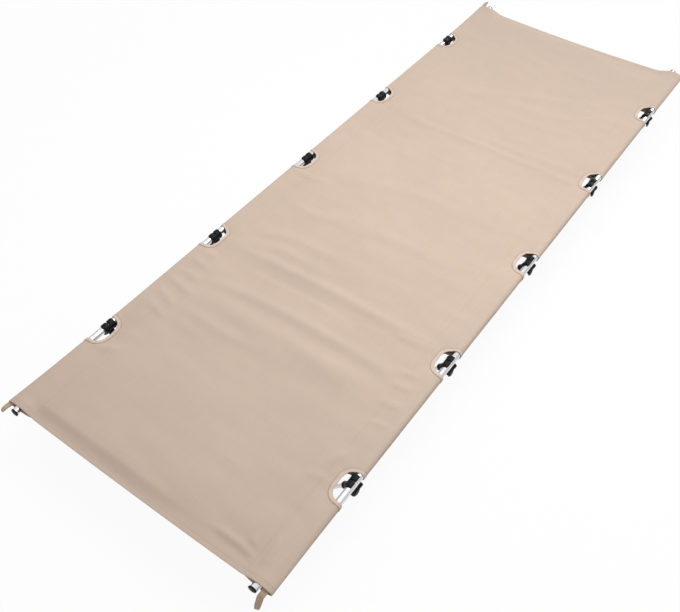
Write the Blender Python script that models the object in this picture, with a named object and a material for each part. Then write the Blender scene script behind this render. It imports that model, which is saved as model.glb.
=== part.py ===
"""Low camping cot: a cloth bed in two sleeves, on two plug-together rails that five sprung
bow legs spread and hold up.

Metres, +Z up. X runs across the bed and Y along it. The feet stand on z = 0, and the origin
is on the floor under the middle of the bed. One side is modelled, outboard towards +X, and
the other side is the same piece turned half round.
"""

import math

import bmesh
import bpy
from mathutils import Matrix, Vector

# Gap between pieces that touch
GAP = 0.0003

# Rails
RAIL_SPACING = 0.644
RAIL_HEIGHT = 0.115
RAIL_DIAMETER = 0.016
RAIL_WALL = 0.0012
RAIL_LENGTH = 1.906
RAIL_SECTIONS = 5
SPIGOT_LENGTH = 0.045
NECK_LENGTH = 0.004
MOUTH_PULL = 0.0139
CAP_PLUG = 0.012
CAP_HEAD = 0.0032
CAP_RIM = 0.0006

# Bed cloth; the rails stick out of it a little at each end
RAIL_REVEAL = 0.010
CLOTH_THICKNESS = 0.0012
POCKET_WIDTH = 0.061
POCKET_SLACK = 0.0055
SEAM_INSET = 0.002
MOUTH_FLARE = 0.0065
BED_SAG = 0.007
FOLD_HEIGHT = 0.0014
FOLD_LENGTH = 0.42
FOLD_SLANT = 0.5
HEM_DROP = 0.015
HEM_DROP_FROM = 0.74
HEM_DROP_INSET = 0.085
CUTOUT_LENGTH = 0.072
CUTOUT_DEPTH = 0.034
CUTOUT_SQUARENESS = 2.6
CUTTER_REACH = 0.040

# Legs, from the near end; each clip sits a little off the middle of its cutout
LEG_PITCH = 0.353
LEG_OFFSETS = (0.0145, 0.003, 0.008, -0.005, 0.003)
BOW_DIAMETER = 0.009
STRUT_LEAN = math.radians(38)
ARCH_RISE_ANGLE = math.radians(17)
BEND_RADIUS = 0.022
FOOT_SOLE = 0.0075
PLUG_DEPTH = 0.030
FERRULE_WALL = 0.0012

# Feet
FOOT_LENGTH = 0.052
FOOT_WIDTH = 0.032
FOOT_HEIGHT = 0.030
FOOT_CORNER = 0.011
FOOT_BORE_RISE = 0.020

# Rail clips
CLIP_WIDTH = 0.0295
CLIP_WALL = 0.0039
FINGER_WIDTH = 0.0130
FINGER_TIP = math.radians(62)
SADDLE_FROM = math.radians(124)
SADDLE_UNDER = math.radians(238)
SADDLE_TO = math.radians(309)
EAR_FROM = math.radians(210)
EAR_TO = math.radians(400)
SOCKET_WALL = 0.0024
SOCKET_DEPTH = 0.022
SOCKET_FLOOR = 0.0022
SOCKET_LIP = 0.0012
SOCKET_CUT_PAST = 0.010

# Clip levers
PIVOT_ANGLE = math.radians(-60)
PIVOT_RADIUS = 0.0018
HUB_RADIUS = 0.0040
HUB_WIDTH = 0.0140
EAR_RIM = 0.0007
TRUNNION_INSET = 0.00055
HUB_CLEARANCE = 0.0020
RUNNING_GAP = 0.0002
TONGUE_LENGTH = 0.0165
TONGUE_WIDTH = 0.0262
TONGUE_THICKNESS = 0.0030
TONGUE_FROM = math.radians(-94)
TONGUE_TO = math.radians(-86)

# Webbing pull loops. Each is sewn inside the outer fold of a sleeve over the last share of its
# flare; the points of its free run are (outboard of its seat, past the mouth, above the rail)
WEBBING_WIDTH = 0.015
WEBBING_THICKNESS = 0.0030
WEBBING_TWIST = math.radians(25)
LOOP_ROOT_SHARES = (0.886, 0.99)
LOOP_ROOT_INSET = 0.00085
LOOP_ROOT_RISE = 0.0010
LOOP_STICKING_OUT = ((-0.0001, 0.010, 0.0022), (0.0007, 0.020, 0.0030), (0.0017, 0.029, 0.0020))
LOOP_HANGING = (
    (-0.0023, 0.009, 0.0004),
    (-0.0043, 0.016, -0.0060),
    (-0.0058, 0.019, -0.0200),
    (-0.0078, 0.020, -0.0400),
    (-0.0103, 0.0195, -0.0580),
)
LOOP_DROOPING = (
    (-0.0023, 0.008, 0.0004),
    (-0.0033, 0.013, -0.0050),
    (-0.0043, 0.015, -0.0160),
    (-0.0048, 0.015, -0.0300),
)
LOOP_RUNS = {
    "near_left": LOOP_STICKING_OUT,
    "near_right": LOOP_HANGING,
    "far_left": LOOP_STICKING_OUT,
    "far_right": LOOP_DROOPING,
}

# Facets round each kind of piece
RAIL_FACETS = 16
BOW_FACETS = 10
PIVOT_FACETS = 8
LEVER_POCKET_FACETS = 12
HUB_FACETS = 14
CUTOUT_FACETS = 16
POCKET_STEPS = 5
PANEL_STEPS = 6

# Edges that bend more than this stay sharp
SHARP_ANGLE = math.radians(40)

RAIL_RADIUS = RAIL_DIAMETER / 2
RAIL_X = RAIL_SPACING / 2
BOW_RADIUS = BOW_DIAMETER / 2
LEG_COUNT = len(LEG_OFFSETS)
CLOTH_LENGTH = RAIL_LENGTH - 2 * RAIL_REVEAL
CUTOUT_YS = [(i - (LEG_COUNT - 1) / 2) * LEG_PITCH for i in range(LEG_COUNT)]
LEG_YS = [y + offset for y, offset in zip(CUTOUT_YS, LEG_OFFSETS)]
POCKET_REACH = (RAIL_RADIUS + GAP) / math.cos(math.pi / POCKET_STEPS / 2)
CLOTH_EDGE = RAIL_X + POCKET_REACH + CLOTH_THICKNESS
SEAM_X = CLOTH_EDGE - POCKET_WIDTH
STRUT_DIRECTION = Vector((-math.sin(STRUT_LEAN), 0, -math.cos(STRUT_LEAN)))
CLIP_BORE = (RAIL_RADIUS + GAP) / math.cos(math.radians(13))
STRUT_START = CLIP_BORE + SOCKET_FLOOR + GAP
PIVOT_DISTANCE = RAIL_RADIUS + HUB_RADIUS + HUB_CLEARANCE
PIVOT = Vector((math.cos(PIVOT_ANGLE), 0, math.sin(PIVOT_ANGLE))) * PIVOT_DISTANCE
CAM_RADIUS = PIVOT_DISTANCE - RAIL_RADIUS - GAP
BEND_START = CUTOUT_YS[-1] + CUTOUT_LENGTH / 2
BEND_STEPS = 2


def clear_scene():
    """Takes out whatever the scene started with."""
    for obj in list(bpy.data.objects):
        bpy.data.objects.remove(obj)


def make_material(name, colour, roughness, metallic=0.0):
    material = bpy.data.materials.new(name)
    material.use_nodes = True
    shader = material.node_tree.nodes["Principled BSDF"]
    shader.inputs["Base Color"].default_value = (*colour, 1.0)
    shader.inputs["Roughness"].default_value = roughness
    shader.inputs["Metallic"].default_value = metallic
    material.diffuse_color = (*colour, 1.0)
    return material


def finish_mesh(bm, name):
    bmesh.ops.recalc_face_normals(bm, faces=bm.faces)
    mesh = bpy.data.meshes.new(name)
    bm.to_mesh(mesh)
    bm.free()
    return mesh


def loft(name, rings, ring_of_rings=False):
    """Skin through rings of equal point count, capped at its ends or closed end to end."""
    bm = bmesh.new()
    rows = [[bm.verts.new(point) for point in ring] for ring in rings]
    pairs = list(zip(rows, rows[1:]))
    if ring_of_rings:
        pairs.append((rows[-1], rows[0]))
    else:
        bm.faces.new(rows[0][::-1])
        bm.faces.new(rows[-1])
    for near, far in pairs:
        for i in range(len(near)):
            j = (i + 1) % len(near)
            bm.faces.new((near[i], near[j], far[j], far[i]))
    return finish_mesh(bm, name)


def arc(start, end, count):
    """Angles from start to end, both included."""
    return [start + (end - start) * i / (count - 1) for i in range(count)]


def around(radius, angle):
    """Point at a radius and angle in the XZ plane, from outboard towards up."""
    return Vector((radius * math.cos(angle), 0, radius * math.sin(angle)))


def prism(name, outline, width):
    """Outline in the XZ plane, extruded evenly to both sides of y = 0."""
    rings = [[point + Vector((0, y, 0)) for point in outline] for y in (-width / 2, width / 2)]
    return loft(name, rings)


def sweep(name, path, radii, facets):
    """Round bar along a path in the XZ plane, with its own radius at each point."""
    rings = []
    for i, (centre, radius) in enumerate(zip(path, radii)):
        before, after = path[max(i - 1, 0)], path[min(i + 1, len(path) - 1)]
        if (after - before).length < GAP:
            before = path[max(i - 2, 0)]
        across = (after - before).normalized().cross(Vector((0, 1, 0)))
        rings.append([
            centre + radius * (math.cos(turn) * across + math.sin(turn) * Vector((0, 1, 0)))
            for turn in (2 * math.pi * k / facets for k in range(facets))
        ])
    return loft(name, rings)


def combine(name, base, steps):
    """Base mesh after a list of (UNION or DIFFERENCE, mesh) steps."""
    scene = bpy.context.scene.collection
    body = bpy.data.objects.new(name, base)
    scene.objects.link(body)
    tools = []
    for operation, mesh in steps:
        tool = bpy.data.objects.new(mesh.name, mesh)
        scene.objects.link(tool)
        tools.append(tool)
        modifier = body.modifiers.new(mesh.name, "BOOLEAN")
        modifier.operation = operation
        modifier.object = tool
    graph = bpy.context.evaluated_depsgraph_get()
    result = bpy.data.meshes.new_from_object(body.evaluated_get(graph))
    result.name = name
    for obj in [body, *tools]:
        bpy.data.objects.remove(obj)
    return result


def place(name, mesh, material, location=(0, 0, 0), turn=0.0, parent=None):
    """Object for one piece, shaded smooth across its shallow edges."""
    mesh.shade_smooth()
    mesh.set_sharp_from_angle(angle=SHARP_ANGLE)
    mesh.materials.clear()
    mesh.materials.append(material)
    obj = bpy.data.objects.new(name, mesh)
    obj.location = location
    obj.rotation_euler = (0, 0, turn)
    obj.parent = parent
    bpy.context.scene.collection.objects.link(obj)
    return obj


# Rails

def rail_x(y):
    """How far out the rail's axis is: past the last legs the cloth draws its ends inward."""
    along = mouth_share(y) * BEND_STEPS
    step = min(math.floor(along), BEND_STEPS - 1)
    low, high = (step / BEND_STEPS) ** 2, ((step + 1) / BEND_STEPS) ** 2
    return RAIL_X - MOUTH_PULL * (low + (high - low) * (along - step))


def rail_ring(radius, y):
    """Ring round the right rail's axis at one place along it."""
    centre = Vector((rail_x(y), y, RAIL_HEIGHT))
    return [centre + around(radius, 2 * math.pi * k / RAIL_FACETS) for k in range(RAIL_FACETS)]


def bent_stations(start, end):
    """Extra places along a rail section, where it curves inward."""
    step = (CLOTH_LENGTH / 2 - BEND_START) / BEND_STEPS
    found = [sign * (BEND_START + step * i) for sign in (-1, 1) for i in range(BEND_STEPS)]
    return sorted(y for y in found if start + NECK_LENGTH < y < end - NECK_LENGTH)


def rail_section(index):
    """Tube section with a swaged spigot at its far end, unless it is the last."""
    pitch = RAIL_LENGTH / RAIL_SECTIONS
    start = -RAIL_LENGTH / 2 + index * pitch + (GAP if index else 0)
    end = -RAIL_LENGTH / 2 + (index + 1) * pitch
    bore = RAIL_RADIUS - RAIL_WALL
    spigot = bore - GAP
    bends = bent_stations(start, end)
    outer = [(RAIL_RADIUS, start)] + [(RAIL_RADIUS, y) for y in bends]
    inner = [(bore, y) for y in reversed(bends)] + [(bore, start)]
    if index < RAIL_SECTIONS - 1:
        outer += [(RAIL_RADIUS, end - NECK_LENGTH), (spigot, end), (spigot, end + SPIGOT_LENGTH)]
        inner = [
            (spigot - RAIL_WALL, end + SPIGOT_LENGTH),
            (spigot - RAIL_WALL, end - NECK_LENGTH),
            (bore, end - 2 * NECK_LENGTH),
        ] + inner
    else:
        outer.append((RAIL_RADIUS, end))
        inner = [(bore, end)] + inner
    rings = [rail_ring(radius, y) for radius, y in outer + inner]
    return loft(f"rail_section_{index + 1}", rings, ring_of_rings=True)


def end_cap(sign):
    """Plug with a domed head that closes a rail's end."""
    tip = RAIL_LENGTH / 2
    plug = RAIL_RADIUS - RAIL_WALL - GAP
    head = RAIL_RADIUS + CAP_RIM
    profile = [
        (plug, tip - CAP_PLUG),
        (plug, tip + GAP),
        (head, tip + GAP),
        (head, tip + GAP + CAP_HEAD * 0.6),
        (head * 0.8, tip + GAP + CAP_HEAD),
    ]
    rings = [rail_ring(radius, sign * y) for radius, y in profile]
    return loft("end_cap", rings)


# Bed cloth

def mouth_share(y):
    """0 where the sleeve hugs the rail, rising to 1 at its mouth."""
    return max(0.0, abs(y) - BEND_START) / (CLOTH_LENGTH / 2 - BEND_START)


def pocket(y):
    """Inner outline of the right sleeve at one place along it, from its seam over the rail."""
    share = mouth_share(y)
    top = RAIL_HEIGHT + POCKET_REACH
    reach = POCKET_REACH
    centre = RAIL_X + MOUTH_FLARE * share
    drop = POCKET_REACH + POCKET_SLACK
    outline = [Vector((SEAM_X + SEAM_INSET, y, top - GAP))]
    for angle in arc(math.pi / 2, -math.pi / 2, POCKET_STEPS + 1):
        depth = reach if angle >= 0 else drop
        outline.append(Vector((
            centre + reach * math.cos(angle), y, RAIL_HEIGHT + depth * math.sin(angle)
        )))
    for fraction, rise in ((0.35, 0.10), (0.70, 0.45)):
        outline.append(Vector((
            centre - fraction * (centre - SEAM_X), y, RAIL_HEIGHT - drop + rise * (drop + reach)
        )))
    return outline


def grown(outline, amount):
    """Closed outline moved outward by an amount, corner by corner."""
    result = []
    for i, point in enumerate(outline):
        before, after = outline[i - 1], outline[(i + 1) % len(outline)]
        along = (after - before).normalized()
        result.append(point + amount * Vector((-along.z, 0, along.x)))
    return result


def bed_height(x, y):
    """Top face of the bed between its seams: a shallow sag with soft slanting folds."""
    share = 1 - (x / SEAM_X) ** 2
    phase = 2 * math.pi * (y + FOLD_SLANT * x) / FOLD_LENGTH
    top = RAIL_HEIGHT + POCKET_REACH + CLOTH_THICKNESS
    return top - share * (BED_SAG + FOLD_HEIGHT * math.sin(phase)) - hem_drop(x, y)


def hem_drop(x, y):
    """How far the ends of the bed droop between its seams, where no leg draws them taut."""
    along = max(0.0, mouth_share(y) - HEM_DROP_FROM) / (1 - HEM_DROP_FROM)
    across = min(1.0, (SEAM_X - abs(x)) / HEM_DROP_INSET)
    return HEM_DROP * along * across


def cloth_section(y):
    """One slice of the cloth: its outer loop, each sleeve's inner loop and their point counts."""
    inner = pocket(y)
    outer = grown(inner, CLOTH_THICKNESS)
    xs = [SEAM_X * (2 * i / PANEL_STEPS - 1) for i in range(PANEL_STEPS + 1)]
    top = [Vector((x, y, bed_height(x, y))) for x in xs]
    bottom = [point - Vector((0, 0, CLOTH_THICKNESS)) for point in top]
    right = outer[1:]
    mirror = Matrix.Diagonal((-1, 1, 1))
    left = [mirror @ point for point in reversed(right)]
    loop = top + right + bottom[::-1] + left
    sides = [inner, [mirror @ point for point in inner]]
    return loop, sides, len(top), len(right)


def cloth_blank():
    """The whole cloth before its cutouts, one slice after another."""
    half = CLOTH_LENGTH / 2
    inner = [y + LEG_PITCH * share for y in CUTOUT_YS[:-1] for share in (1 / 3, 2 / 3)]
    ends = (0, HEM_DROP_FROM / 2, HEM_DROP_FROM, 1)
    outer = [BEND_START + (half - BEND_START) * share for share in ends]
    stations = [-y for y in reversed(outer)] + inner + outer
    slices = [cloth_section(y) for y in stations]
    bm = bmesh.new()
    rows = []
    for loop, sides, _, _ in slices:
        rows.append([[bm.verts.new(point) for point in ring] for ring in (loop, *sides)])
    for near, far in zip(rows, rows[1:]):
        for a, b in zip(near, far):
            for i in range(len(a)):
                j = (i + 1) % len(a)
                bm.faces.new((a[i], a[j], b[j], b[i]))
    panel, sleeve = slices[0][2:]
    for row in (rows[0], rows[-1]):
        close_slice(bm, row, panel, sleeve)
    return finish_mesh(bm, "bed_cloth")


def close_slice(bm, row, panel, sleeve):
    """End face of the cloth: the panel's edge and each sleeve's edge round its mouth."""
    loop, right, left = row
    top = loop[:panel]
    right_outer = loop[panel:panel + sleeve]
    bottom = loop[panel + sleeve:2 * panel + sleeve][::-1]
    left_outer = loop[2 * panel + sleeve:][::-1]
    for i in range(panel - 1):
        bm.faces.new((top[i], top[i + 1], bottom[i + 1], bottom[i]))
    for outer, inner, seam in ((right_outer, right, -1), (left_outer, left, 0)):
        chain = [top[seam], *outer, bottom[seam]]
        core = [*inner, inner[0]]
        for i in range(len(core) - 1):
            bm.faces.new((chain[i], chain[i + 1], core[i + 1], core[i]))
        bm.faces.new((top[seam], inner[0], bottom[seam]))


def squared(share):
    """A circle's sine or cosine, pushed out to that of a squarer oval."""
    return math.copysign(abs(share) ** (2 / CUTOUT_SQUARENESS), share)


def cutout_cutters():
    """Upright squarish oval cutters along both edges, one at each leg."""
    bm = bmesh.new()
    low, high = RAIL_HEIGHT - CUTTER_REACH, RAIL_HEIGHT + CUTTER_REACH
    turns = [2 * math.pi * (k + 0.5) / CUTOUT_FACETS for k in range(CUTOUT_FACETS)]
    outline = [(squared(math.cos(turn)), squared(math.sin(turn))) for turn in turns]
    for side in (-1, 1):
        for y in CUTOUT_YS:
            ovals = [[bm.verts.new((
                side * (CLOTH_EDGE + CUTOUT_DEPTH * across),
                y + CUTOUT_LENGTH / 2 * along,
                z,
            )) for across, along in outline] for z in (low, high)]
            bm.faces.new(ovals[0])
            bm.faces.new(ovals[1])
            for i in range(CUTOUT_FACETS):
                j = (i + 1) % CUTOUT_FACETS
                bm.faces.new((ovals[0][i], ovals[0][j], ovals[1][j], ovals[1][i]))
    return finish_mesh(bm, "cutouts")


# Legs

def fillet(corner, towards, away, radius, count):
    """Points of a round bend at a corner between two straight runs."""
    turn = math.acos(max(-1.0, min(1.0, -towards.dot(away))))
    reach = radius / math.tan(turn / 2)
    centre = corner + (towards + away).normalized() * (radius / math.sin(turn / 2))
    first, last = corner + towards * reach - centre, corner + away * reach - centre
    sweep_angle = math.pi - turn
    points = []
    for i in range(count):
        share = i / (count - 1)
        points.append(centre + (
            math.sin((1 - share) * sweep_angle) * first + math.sin(share * sweep_angle) * last
        ) / math.sin(sweep_angle))
    return points


def bow_path():
    """Centreline of the right half of a bow, from its clip's socket to the bed's middle."""
    axle = Vector((RAIL_X, 0, RAIL_HEIGHT))
    start = axle + STRUT_DIRECTION * STRUT_START
    arch_way = Vector((-math.cos(ARCH_RISE_ANGLE), 0, math.sin(ARCH_RISE_ANGLE)))
    back = -STRUT_DIRECTION
    half_turn = math.acos(back.dot(arch_way)) / 2
    clearance = BEND_RADIUS / math.sin(half_turn) - BEND_RADIUS
    dip = clearance * (back + arch_way).normalized().z
    corner_z = FOOT_SOLE + BOW_RADIUS - dip
    corner = axle + STRUT_DIRECTION * ((RAIL_HEIGHT - corner_z) / math.cos(STRUT_LEAN))
    bend = fillet(corner, back, arch_way, BEND_RADIUS, 5)
    ferrule = PLUG_DEPTH + 2 * FERRULE_WALL
    run = bend[-1].x - ferrule
    arch_radius = run / math.sin(ARCH_RISE_ANGLE)
    crown = bend[-1].z + arch_radius * (1 - math.cos(ARCH_RISE_ANGLE))
    hub = Vector((ferrule, 0, crown - arch_radius))
    arch = [
        hub + around(arch_radius, math.pi / 2 - angle) for angle in arc(ARCH_RISE_ANGLE, 0, 6)[1:]
    ]
    return [start, *bend, *arch]


def bow_half(plain):
    """Half bow: plain at the middle, or with the ferrule that takes the other half's plain end."""
    path = bow_path()
    crown = path[-1]
    ferrule = BOW_RADIUS + GAP + FERRULE_WALL
    if plain:
        path.append(Vector((-PLUG_DEPTH + GAP, 0, crown.z)))
        return sweep("bow_plain_half", path, [BOW_RADIUS] * len(path), BOW_FACETS)
    radii = [BOW_RADIUS] * len(path) + [ferrule] * 2 + [BOW_RADIUS + GAP] * 2
    for x in (crown.x - FERRULE_WALL, 0, 0, PLUG_DEPTH + GAP):
        path.append(Vector((x, 0, crown.z)))
    return sweep_bored("bow_ferrule_half", path, radii)


def sweep_bored(name, path, radii):
    """Round bar whose last two rings turn back into its own bore."""
    level = len(path) - 4
    rings = []
    for i, (centre, radius) in enumerate(zip(path, radii)):
        if i < level:
            before, after = path[max(i - 1, 0)], path[i + 1]
            across = (after - before).normalized().cross(Vector((0, 1, 0)))
        else:
            across = Vector((-1, 0, 0)).cross(Vector((0, 1, 0)))
        rings.append([
            centre + radius * (math.cos(turn) * across + math.sin(turn) * Vector((0, 1, 0)))
            for turn in (2 * math.pi * k / BOW_FACETS for k in range(BOW_FACETS))
        ])
    return loft(name, rings)


def rounded_rectangle(length, width, corner, centre):
    """Level ring with round corners about a centre."""
    points = []
    for sx, sy, start in ((1, 1, 0), (-1, 1, 90), (-1, -1, 180), (1, -1, 270)):
        for angle in arc(math.radians(start), math.radians(start + 90), 3):
            points.append(centre + Vector((
                sx * (length / 2 - corner) + corner * math.cos(angle),
                sy * (width / 2 - corner) + corner * math.sin(angle),
                0,
            )))
    return points


def foot():
    """Moulded foot: a flat rounded sole that narrows to a saddle round the bow's bend."""
    path = bow_path()
    bend = path[3]
    levels = (
        (0.00, 0.94, 0.94, -0.002),
        (0.10, 1.00, 1.00, -0.002),
        (0.28, 0.90, 0.84, -0.001),
        (0.60, 0.72, 0.62, 0.003),
        (0.92, 0.56, 0.54, 0.008),
        (1.00, 0.46, 0.44, 0.009),
    )
    rings = []
    for height, length, width, shift in levels:
        centre = Vector((bend.x + shift, 0, FOOT_HEIGHT * height))
        rings.append(rounded_rectangle(
            FOOT_LENGTH * length, FOOT_WIDTH * width, FOOT_CORNER * width, centre
        ))
    body = loft("foot", rings)
    reach = [path[0] + STRUT_DIRECTION * FOOT_BORE_RISE, *path[1:8]]
    bore = sweep("foot_bore", reach, [BOW_RADIUS + GAP] * len(reach), BOW_FACETS)
    return combine("foot", body, [("DIFFERENCE", bore)])


# Rail clips and levers; these are drawn about the rail's axis

def finger():
    """Crowned finger that wraps over the rail from inboard, square and thinner at its tip."""
    stations = (
        (SADDLE_FROM + math.radians(12), 0.90, 0.90),
        (SADDLE_FROM - math.radians(2), 1.00, 1.00),
        (SADDLE_FROM - math.radians(24), 1.00, 1.00),
        (FINGER_TIP + math.radians(14), 1.00, 0.92),
        (FINGER_TIP, 0.94, 0.50),
    )
    rings = []
    for i, (angle, wide, tall) in enumerate(stations):
        inner = CLIP_BORE + (CLIP_WALL / 4 if i == 0 else 0)
        crown = CLIP_BORE + CLIP_WALL * tall
        shoulder = CLIP_BORE + CLIP_WALL * tall * 0.72
        half = FINGER_WIDTH / 2 * wide
        section = ((inner, -half), (shoulder, -half), (crown, -half / 2), (crown, half / 2),
                   (shoulder, half), (inner, half))
        rings.append([around(radius, angle) + Vector((0, y, 0)) for radius, y in section])
    return loft("finger", rings)


def shifted(mesh, offset):
    """Copy of a mesh, moved."""
    copy = mesh.copy()
    copy.transform(Matrix.Translation(offset))
    return copy


def disc(radius, facets, centre=Vector((0, 0, 0))):
    """Round outline in the XZ plane."""
    return [centre + around(radius, 2 * math.pi * k / facets) for k in range(facets)]


def rail_clip():
    """Clip body: saddle under the rail, two fingers over it, strut socket and pivot ears."""
    ear = HUB_RADIUS + EAR_RIM
    saddle = prism("saddle", (
        [around(CLIP_BORE + CLIP_WALL, angle) for angle in arc(SADDLE_FROM, SADDLE_UNDER, 5)]
        + [PIVOT + around(ear, angle) for angle in arc(EAR_FROM, EAR_TO, 6)]
        + [around(CLIP_BORE, angle) for angle in arc(SADDLE_TO, SADDLE_FROM, 8)]
    ), CLIP_WIDTH)
    socket_radius = BOW_RADIUS + GAP + SOCKET_WALL
    socket_end = STRUT_START + SOCKET_DEPTH
    socket = sweep(
        "socket",
        [STRUT_DIRECTION * d for d in (CLIP_BORE + 2 * GAP, socket_end - SOCKET_LIP, socket_end)],
        [socket_radius * s for s in (1.12, 1.0, 0.9)],
        BOW_FACETS,
    )
    finger_y = (CLIP_WIDTH - FINGER_WIDTH) / 2
    pocket_radius = (CAM_RADIUS + GAP) / math.cos(math.pi / LEVER_POCKET_FACETS)
    pocket_outline = disc(pocket_radius, LEVER_POCKET_FACETS, PIVOT)
    pocket_cut = prism("lever_pocket", pocket_outline, HUB_WIDTH + 2 * RUNNING_GAP)
    hole_outline = disc(PIVOT_RADIUS + RUNNING_GAP, PIVOT_FACETS, PIVOT)
    pivot_hole = prism("pivot_hole", hole_outline, CLIP_WIDTH * 2)
    strut_hole = sweep(
        "strut_hole",
        [STRUT_DIRECTION * d for d in (STRUT_START - GAP, socket_end + SOCKET_CUT_PAST)],
        [BOW_RADIUS + GAP] * 2,
        BOW_FACETS,
    )
    return combine("rail_clip", saddle, [
        ("UNION", shifted(finger(), (0, finger_y, 0))),
        ("UNION", shifted(finger(), (0, -finger_y, 0))),
        ("UNION", socket),
        ("DIFFERENCE", pocket_cut),
        ("DIFFERENCE", pivot_hole),
        ("DIFFERENCE", strut_hole),
    ])


def tongue():
    """Leaf-shaped tongue, drawn from the pivot: narrow between the ears, then broad and round."""
    stations = (
        (0.05, 0.44, 1.00),
        (0.31, 0.50, 1.05),
        (0.41, 0.94, 1.05),
        (0.55, 1.00, 1.00),
        (0.73, 0.93, 0.90),
        (0.88, 0.72, 0.80),
        (0.97, 0.42, 0.70),
        (1.00, 0.20, 0.60),
    )
    rings = []
    for reach, wide, thick in stations:
        angle = TONGUE_FROM + (TONGUE_TO - TONGUE_FROM) * reach
        centre = around(TONGUE_LENGTH * reach, angle)
        across = around(1, angle + math.pi / 2)
        half, slab = TONGUE_WIDTH / 2 * wide, TONGUE_THICKNESS / 2 * thick
        section = ((-half, -0.6), (-half, 0.5), (0, 1.0), (half, 0.5), (half, -0.6), (0, -1.0))
        rings.append([centre + Vector((0, y, 0)) + across * slab * s for y, s in section])
    return loft("tongue", rings)


def lever():
    """Cam lever about its own pivot: hub with a cam lobe, two trunnions and the tongue."""
    lobe = math.pi + PIVOT_ANGLE
    outline = []
    for turn in (lobe + 2 * math.pi * k / HUB_FACETS for k in range(HUB_FACETS)):
        swell = max(0.0, math.cos(turn - lobe)) ** 4
        outline.append(around(HUB_RADIUS + (CAM_RADIUS - HUB_RADIUS) * swell, turn))
    hub = prism("lever_hub", outline, HUB_WIDTH)
    pins = prism("trunnions", disc(PIVOT_RADIUS, PIVOT_FACETS), CLIP_WIDTH - 2 * TRUNNION_INSET)
    return combine("lever", hub, [("UNION", pins), ("UNION", tongue())])


# Webbing

def strap(path, twist):
    """Flat strap along a path, its width turned by a twist from level across the bed."""
    rings = []
    for i, point in enumerate(path):
        along = (path[min(i + 1, len(path) - 1)] - path[max(i - 1, 0)]).normalized()
        share = max(0, i - 1) / (len(path) - 2)
        across = Matrix.Rotation(twist * share, 3, along) @ Vector((1, 0, 0))
        across = (across - along * across.dot(along)).normalized()
        face = along.cross(across)
        half = WEBBING_WIDTH / 2 * (0.8 if i == len(path) - 1 else 1)
        slab = WEBBING_THICKNESS / 2
        rings.append([
            point + across * half * a + face * slab * b
            for a, b in ((-1, -1), (1, -1), (1, 1), (-1, 1))
        ])
    return loft("pull_loop", rings)


def pull_loop_path(points):
    """Path of a loop: its root follows the flaring fold, and its free run leaves the mouth."""
    half = CLOTH_LENGTH / 2
    run = []
    for share in LOOP_ROOT_SHARES:
        y = BEND_START + (half - BEND_START) * share
        run.append((-LOOP_ROOT_INSET, y, LOOP_ROOT_RISE))
    run += [(out, half + past, up) for out, past, up in points]
    path = []
    for out, y, up in run:
        fold = RAIL_X + MOUTH_FLARE * min(1.0, mouth_share(y)) + RAIL_RADIUS + GAP
        path.append(Vector((fold - WEBBING_WIDTH / 2 + out, y, RAIL_HEIGHT + up)))
    return path


def main():
    clear_scene()
    cloth_tan = make_material("bed_cloth", (0.60, 0.48, 0.40), 0.85)
    webbing_tan = make_material("webbing", (0.42, 0.33, 0.25), 0.9)
    aluminium = make_material("polished_aluminium", (0.80, 0.80, 0.80), 0.22, 1.0)
    bow_alloy = make_material("bow_aluminium", (0.35, 0.35, 0.37), 0.4, 1.0)
    nylon = make_material("black_nylon", (0.02, 0.02, 0.022), 0.45)
    rubber = make_material("foot_rubber", (0.025, 0.025, 0.025), 0.75)

    cloth = combine("bed_cloth", cloth_blank(), [("DIFFERENCE", cutout_cutters())])
    place("bed_cloth", cloth, cloth_tan)

    sides = (("left", math.pi), ("right", 0.0))
    for side, turn in sides:
        for index in range(RAIL_SECTIONS):
            number = index + 1 if side == "right" else RAIL_SECTIONS - index
            place(f"rail_{side}_{number}", rail_section(index), aluminium, turn=turn)
        for end, sign in (("near", -1), ("far", 1)):
            cap_sign = sign if side == "right" else -sign
            place(f"end_cap_{end}_{side}", end_cap(cap_sign), nylon, turn=turn)
            run = pull_loop_path(LOOP_RUNS[f"{end}_{side}"])
            flip = Matrix.Diagonal((1 if side == "right" else -1, sign, 1))
            twist = WEBBING_TWIST * (1 if (side == "right") == (end == "far") else -1)
            mesh = strap([flip @ point for point in run], twist)
            place(f"pull_loop_{end}_{side}", mesh, webbing_tan)

    bows = {"left": bow_half(plain=True), "right": bow_half(plain=False)}
    foot_mesh, clip_mesh, lever_mesh = foot(), rail_clip(), lever()
    for index, y in enumerate(LEG_YS):
        leg = bpy.data.objects.new(f"leg_{index + 1}_frame", None)
        leg.location = (0, y, 0)
        bpy.context.scene.collection.objects.link(leg)
        for side, turn in sides:
            out = 1 if side == "right" else -1
            tag = f"{index + 1}_{side}"
            axle = Vector((out * RAIL_X, 0, RAIL_HEIGHT))
            pivot = axle + Vector((out * PIVOT.x, 0, PIVOT.z))
            place(f"bow_{tag}", bows[side], bow_alloy, turn=turn, parent=leg)
            place(f"foot_{tag}", foot_mesh, rubber, turn=turn, parent=leg)
            place(f"rail_clip_{tag}", clip_mesh, nylon, axle, turn, leg)
            place(f"lever_{tag}", lever_mesh, nylon, pivot, turn, leg)


main()
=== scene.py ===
"""Looks of a low camping cot: its stretched cloth bed, polished rails, moulded clips and bows.

Metres, +Z up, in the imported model's frame. X runs across the bed and Y along it. Pieces that
both sides share are drawn for the right side, outboard towards +X, and turned half round for
the left one.
"""

import random
from math import acos, cos, exp, hypot, log, pi, radians, sin, sqrt, tan

import bmesh
import bpy
import numpy as np
from mathutils import Matrix, Vector


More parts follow.
